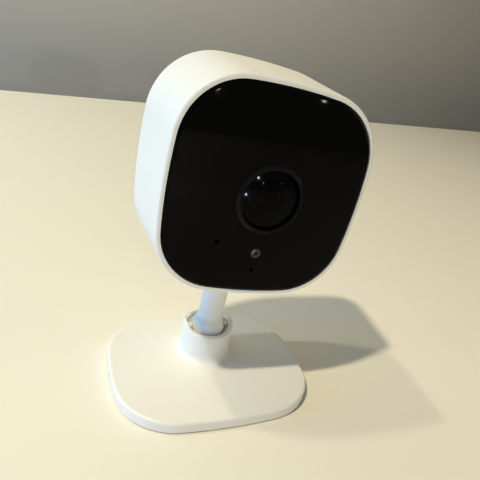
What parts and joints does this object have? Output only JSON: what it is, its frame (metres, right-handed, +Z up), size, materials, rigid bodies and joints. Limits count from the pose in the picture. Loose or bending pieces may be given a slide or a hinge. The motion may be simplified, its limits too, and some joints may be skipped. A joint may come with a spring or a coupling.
{
  "type": "security camera",
  "caption": "Compact indoor security camera: a rounded-square head with a domed dark front, on a short post whose ball tilts in a saddle-rimmed cup on a flat base.",
  "frame": {"origin": "centre of the base's underside, on the surface that it stands on", "axes": "+Z up, -Y the way the face looks before it is turned, +X to the right of someone who looks the way +Y points"},
  "size_m": [0.0681, 0.0548, 0.1006],
  "materials": {
    "white_plastic": "satin moulded",
    "window_black": "polished",
    "ring_black": "polished",
    "lens_glass": "coated",
    "filter_glass": "coated",
    "black_plastic": "satin moulded",
    "nylon": "smooth",
    "rubber": "matte",
    "foam": "soft",
    "steel": "plated",
    "aluminium": "satin",
    "copper": "lacquered wire",
    "circuit_board": "solder mask",
    "antenna_film": "film",
    "chip": "moulded",
    "led": "moulded",
    "light_guide": "frosted"
  },
  "bodies": {
    "base": {"base_shell": "white_plastic", "base_cover": "white_plastic", "base_screws": "steel", "foot_pad": "rubber", "ballast_plate": "steel", "ball_seat": "nylon", "seat_spring": "steel"},
    "friction_buttons": {"friction_buttons": "nylon"},
    "neck": {"neck": "white_plastic", "neck_clip": "steel"},
    "head": {"neck_washer": "nylon", "front_housing": "white_plastic", "rear_cover": "white_plastic", "front_window": "window_black", "lens_ring": "ring_black", "lens_dome": "lens_glass", "lens_barrel": "black_plastic", "lens_element": "lens_glass", "lens_holder": "black_plastic", "filter_coil": "copper", "image_sensor": "chip", "main_board": "circuit_board", "board_screws": "steel", "shield_can": "steel", "thermal_pad": "rubber", "heat_spreader": "aluminium", "infrared_board": "circuit_board", "infrared_leds": "chip", "status_led": "led", "status_light_guide": "light_guide", "microphone": "steel", "microphone_gasket": "rubber", "light_sensor": "chip", "antenna": "antenna_film", "speaker": "black_plastic", "speaker_gasket": "foam", "power_socket": "steel", "socket_tongue": "black_plastic", "card_socket": "steel", "reset_switch": "black_plastic"},
    "filter_carriage": {"filter_carriage": "black_plastic", "filter_panes": "filter_glass"},
    "reset_button": {"reset_button": "white_plastic"}
  },
  "joints": [
    {"name": "neck_tilt", "type": "hinge", "parent": "base", "child": "friction_buttons", "pos_m": [0, 0.0075, 0.0146], "axis": [1, 0, 0], "range_deg": [-38, 41]},
    {"name": "neck_lean", "type": "hinge", "parent": "friction_buttons", "child": "neck", "pos_m": [0, 0.0075, 0.0146], "axis": [0, 0.9996, -0.0279], "range_deg": [-13, 6]},
    {"name": "head_pan", "type": "hinge", "parent": "neck", "child": "head", "pos_m": [0, 0.0075, 0.0146], "axis": [0.0619, 0.0279, 0.9977], "continuous": true},
    {"name": "filter_slide", "type": "slide", "parent": "head", "child": "filter_carriage", "axis": [0.9976, -0.0314, -0.061], "range_m": [0, 0.007]},
    {"name": "reset_press", "type": "slide", "parent": "head", "child": "reset_button", "axis": [-0.0296, -0.9991, 0.0297], "range_m": [0, 0.0006], "stiffness_N_per_m": 800, "springref_m": -0.0004}
  ]
}
